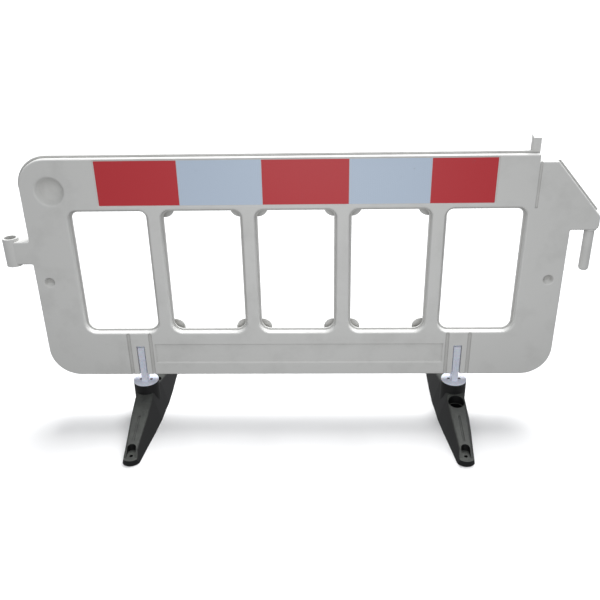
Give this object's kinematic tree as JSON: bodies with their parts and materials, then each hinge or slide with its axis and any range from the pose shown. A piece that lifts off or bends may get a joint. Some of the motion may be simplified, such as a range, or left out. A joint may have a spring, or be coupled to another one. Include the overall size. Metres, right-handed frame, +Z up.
{
  "type": "traffic barrier",
  "caption": "Free-standing hollow plastic barrier panel with windows, reflective band, link ring and link pin at its ends, and swivelling feet that fold flat.",
  "frame": {"origin": "on the ground, under the middle of the panel and in its mid-plane", "axes": "+X along the panel from the link ring to the link pin, +Y from the front face to the back face, +Z up"},
  "size_m": [2.0505, 0.6807, 1.063],
  "materials": {
    "panel_white": "satin blow-moulded polyethylene, white",
    "film_red": "engineer-grade reflective film, red",
    "film_white": "engineer-grade reflective film, bluish white",
    "clip_nylon": "moulded nylon, pale blue-grey",
    "retainer_nylon": "moulded nylon, pale blue-grey",
    "fastener_steel": "zinc-plated steel, dulled",
    "foot_rubber": "moulded recycled rubber, black"
  },
  "bodies": {
    "panel": {"panel_shell": "panel_white", "reflector_front_1_red": "film_red", "reflector_front_2_white": "film_white", "reflector_front_3_red": "film_red", "reflector_front_4_white": "film_white", "reflector_front_5_red": "film_red", "reflector_back_1_red": "film_red", "reflector_back_2_white": "film_white", "reflector_back_3_red": "film_red", "reflector_back_4_white": "film_white", "reflector_back_5_red": "film_red", "foot_clip_left": "clip_nylon", "foot_retainer_left": "retainer_nylon", "clip_screws_left": "fastener_steel", "clip_nuts_left": "fastener_steel", "foot_clip_right": "clip_nylon", "foot_retainer_right": "retainer_nylon", "clip_screws_right": "fastener_steel", "clip_nuts_right": "fastener_steel"},
    "foot_left": {"foot_left": "foot_rubber"},
    "foot_right": {"foot_right": "foot_rubber"}
  },
  "joints": [
    {"name": "foot_left_swivel", "type": "hinge", "parent": "panel", "child": "foot_left", "pos_m": [-0.585, 0, 0.11], "axis": [0, 0, 1], "range_deg": [-90, 90]},
    {"name": "foot_right_swivel", "type": "hinge", "parent": "panel", "child": "foot_right", "pos_m": [0.585, 0, 0.11], "axis": [0, 0, 1], "range_deg": [-90, 90]}
  ]
}
